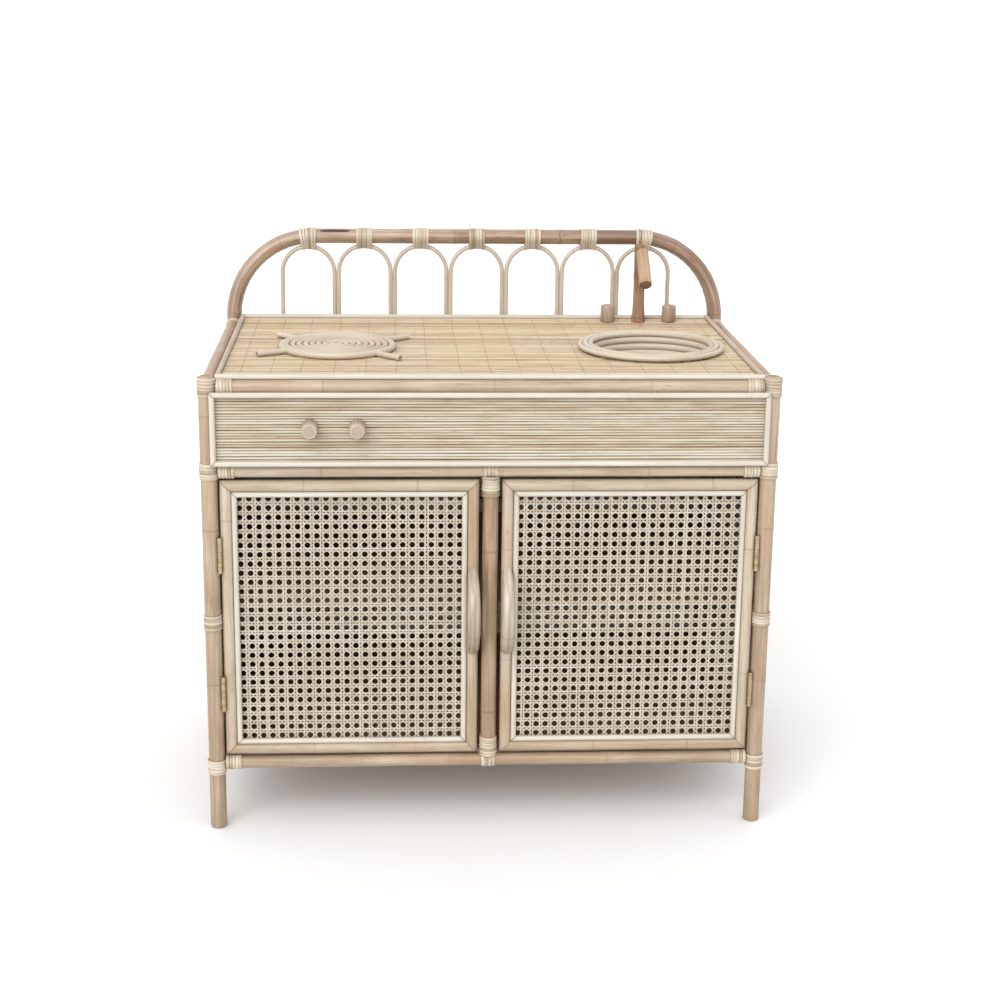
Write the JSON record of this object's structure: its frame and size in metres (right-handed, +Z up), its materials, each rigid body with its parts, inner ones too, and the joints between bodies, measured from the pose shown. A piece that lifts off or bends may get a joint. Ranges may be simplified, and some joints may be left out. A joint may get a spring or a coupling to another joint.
{
  "type": "toy kitchen",
  "caption": "Rattan play kitchen: cupboard on legs with hinged cane doors, round coiled hob, inset sink with tap, turning knobs and an arched splashback.",
  "frame": {"origin": "on the floor, under the centre of the object's overall box", "axes": "+Z up, front with its doors towards -Y, +X to the right when facing the front"},
  "size_m": [0.6204, 0.4352, 0.6202],
  "materials": {
    "pale_pole": "satin, pale debarked rattan pole with node rings",
    "tan_pole": "satin, natural tan rattan pole with its skin on",
    "door_pole": "satin, pale rattan",
    "core_rattan": "matt, smooth rattan core rod",
    "white_trim": "matt, whitish rattan core rod",
    "cane_binding": "satin, flat cane peel wound side by side",
    "cane_weave": "satin, six-way woven cane",
    "straw_slats": "satin, split rattan slats stitched side by side",
    "core_sticks": "matt, round rattan sticks laid side by side",
    "plywood": "matt, thin plywood",
    "brass": "satin brass plating",
    "steel": "satin zinc-plated steel",
    "catch_plastic": "matt brown plastic"
  },
  "bodies": {
    "cabinet": {"front_left_post": "pale_pole", "front_right_post": "pale_pole", "rear_hoop": "tan_pole", "centre_post": "tan_pole", "front_top_rail": "pale_pole", "front_middle_rail": "pale_pole", "front_bottom_rail": "pale_pole", "left_side_rails": "pale_pole", "right_side_rails": "pale_pole", "rear_rails": "pale_pole", "counter_board": "plywood", "counter_mat": "straw_slats", "counter_trims": "white_trim", "fascia_board": "plywood", "fascia_mat": "core_sticks", "fascia_trims": "white_trim", "left_side_panels": "core_sticks", "right_side_panels": "core_sticks", "rear_panels": "core_sticks", "panel_trims": "white_trim", "shelf_board": "plywood", "floor_board": "plywood", "splashback_arches": "core_rattan", "arch_bindings": "cane_binding", "front_bindings": "cane_binding", "side_bindings": "cane_binding", "rear_bindings": "cane_binding", "hob_coil": "core_rattan", "hob_sticks": "core_rattan", "sink_rim": "core_rattan", "sink_bowl": "core_rattan", "tap_riser": "tan_pole", "tap_spout": "tan_pole", "hinge_post_leaves": "brass", "hinge_pins": "brass", "hinge_post_screws": "brass", "knob_spindles": "steel", "door_catch": "catch_plastic", "catch_magnets": "steel"},
    "left_door": {"left_door_rails": "door_pole", "left_door_hinge_stile": "door_pole", "left_door_latch_stile": "door_pole", "left_door_bead": "white_trim", "left_door_cane": "cane_weave", "left_door_handle": "core_rattan", "left_hinge_leaves": "brass", "left_door_strike": "steel"},
    "right_door": {"right_door_rails": "door_pole", "right_door_hinge_stile": "door_pole", "right_door_latch_stile": "door_pole", "right_door_bead": "white_trim", "right_door_cane": "cane_weave", "right_door_handle": "core_rattan", "right_hinge_leaves": "brass", "right_door_strike": "steel"},
    "left_hob_knob": {"hob_knob_left": "core_rattan"},
    "right_hob_knob": {"hob_knob_right": "core_rattan"},
    "left_tap_knob": {"tap_knob_left": "core_rattan"},
    "right_tap_knob": {"tap_knob_right": "core_rattan"}
  },
  "joints": [
    {"name": "left_door_hinge", "type": "hinge", "parent": "cabinet", "child": "left_door", "pos_m": [-0.2902, -0.1796, 0.239], "axis": [0, 0, -1], "range_deg": [0, 110]},
    {"name": "right_door_hinge", "type": "hinge", "parent": "cabinet", "child": "right_door", "pos_m": [0.2902, -0.1796, 0.239], "axis": [0, 0, 1], "range_deg": [0, 110]},
    {"name": "left_hob_knob_turn", "type": "hinge", "parent": "cabinet", "child": "left_hob_knob", "pos_m": [-0.192, -0.1926, 0.46], "axis": [0, 1, 0], "continuous": true},
    {"name": "right_hob_knob_turn", "type": "hinge", "parent": "cabinet", "child": "right_hob_knob", "pos_m": [-0.142, -0.1926, 0.46], "axis": [0, 1, 0], "continuous": true},
    {"name": "left_tap_knob_turn", "type": "hinge", "parent": "cabinet", "child": "left_tap_knob", "pos_m": [0.161, 0.1704, 0.52], "axis": [0, 0, 1], "continuous": true},
    {"name": "right_tap_knob_turn", "type": "hinge", "parent": "cabinet", "child": "right_tap_knob", "pos_m": [0.237, 0.1704, 0.52], "axis": [0, 0, 1], "continuous": true}
  ]
}
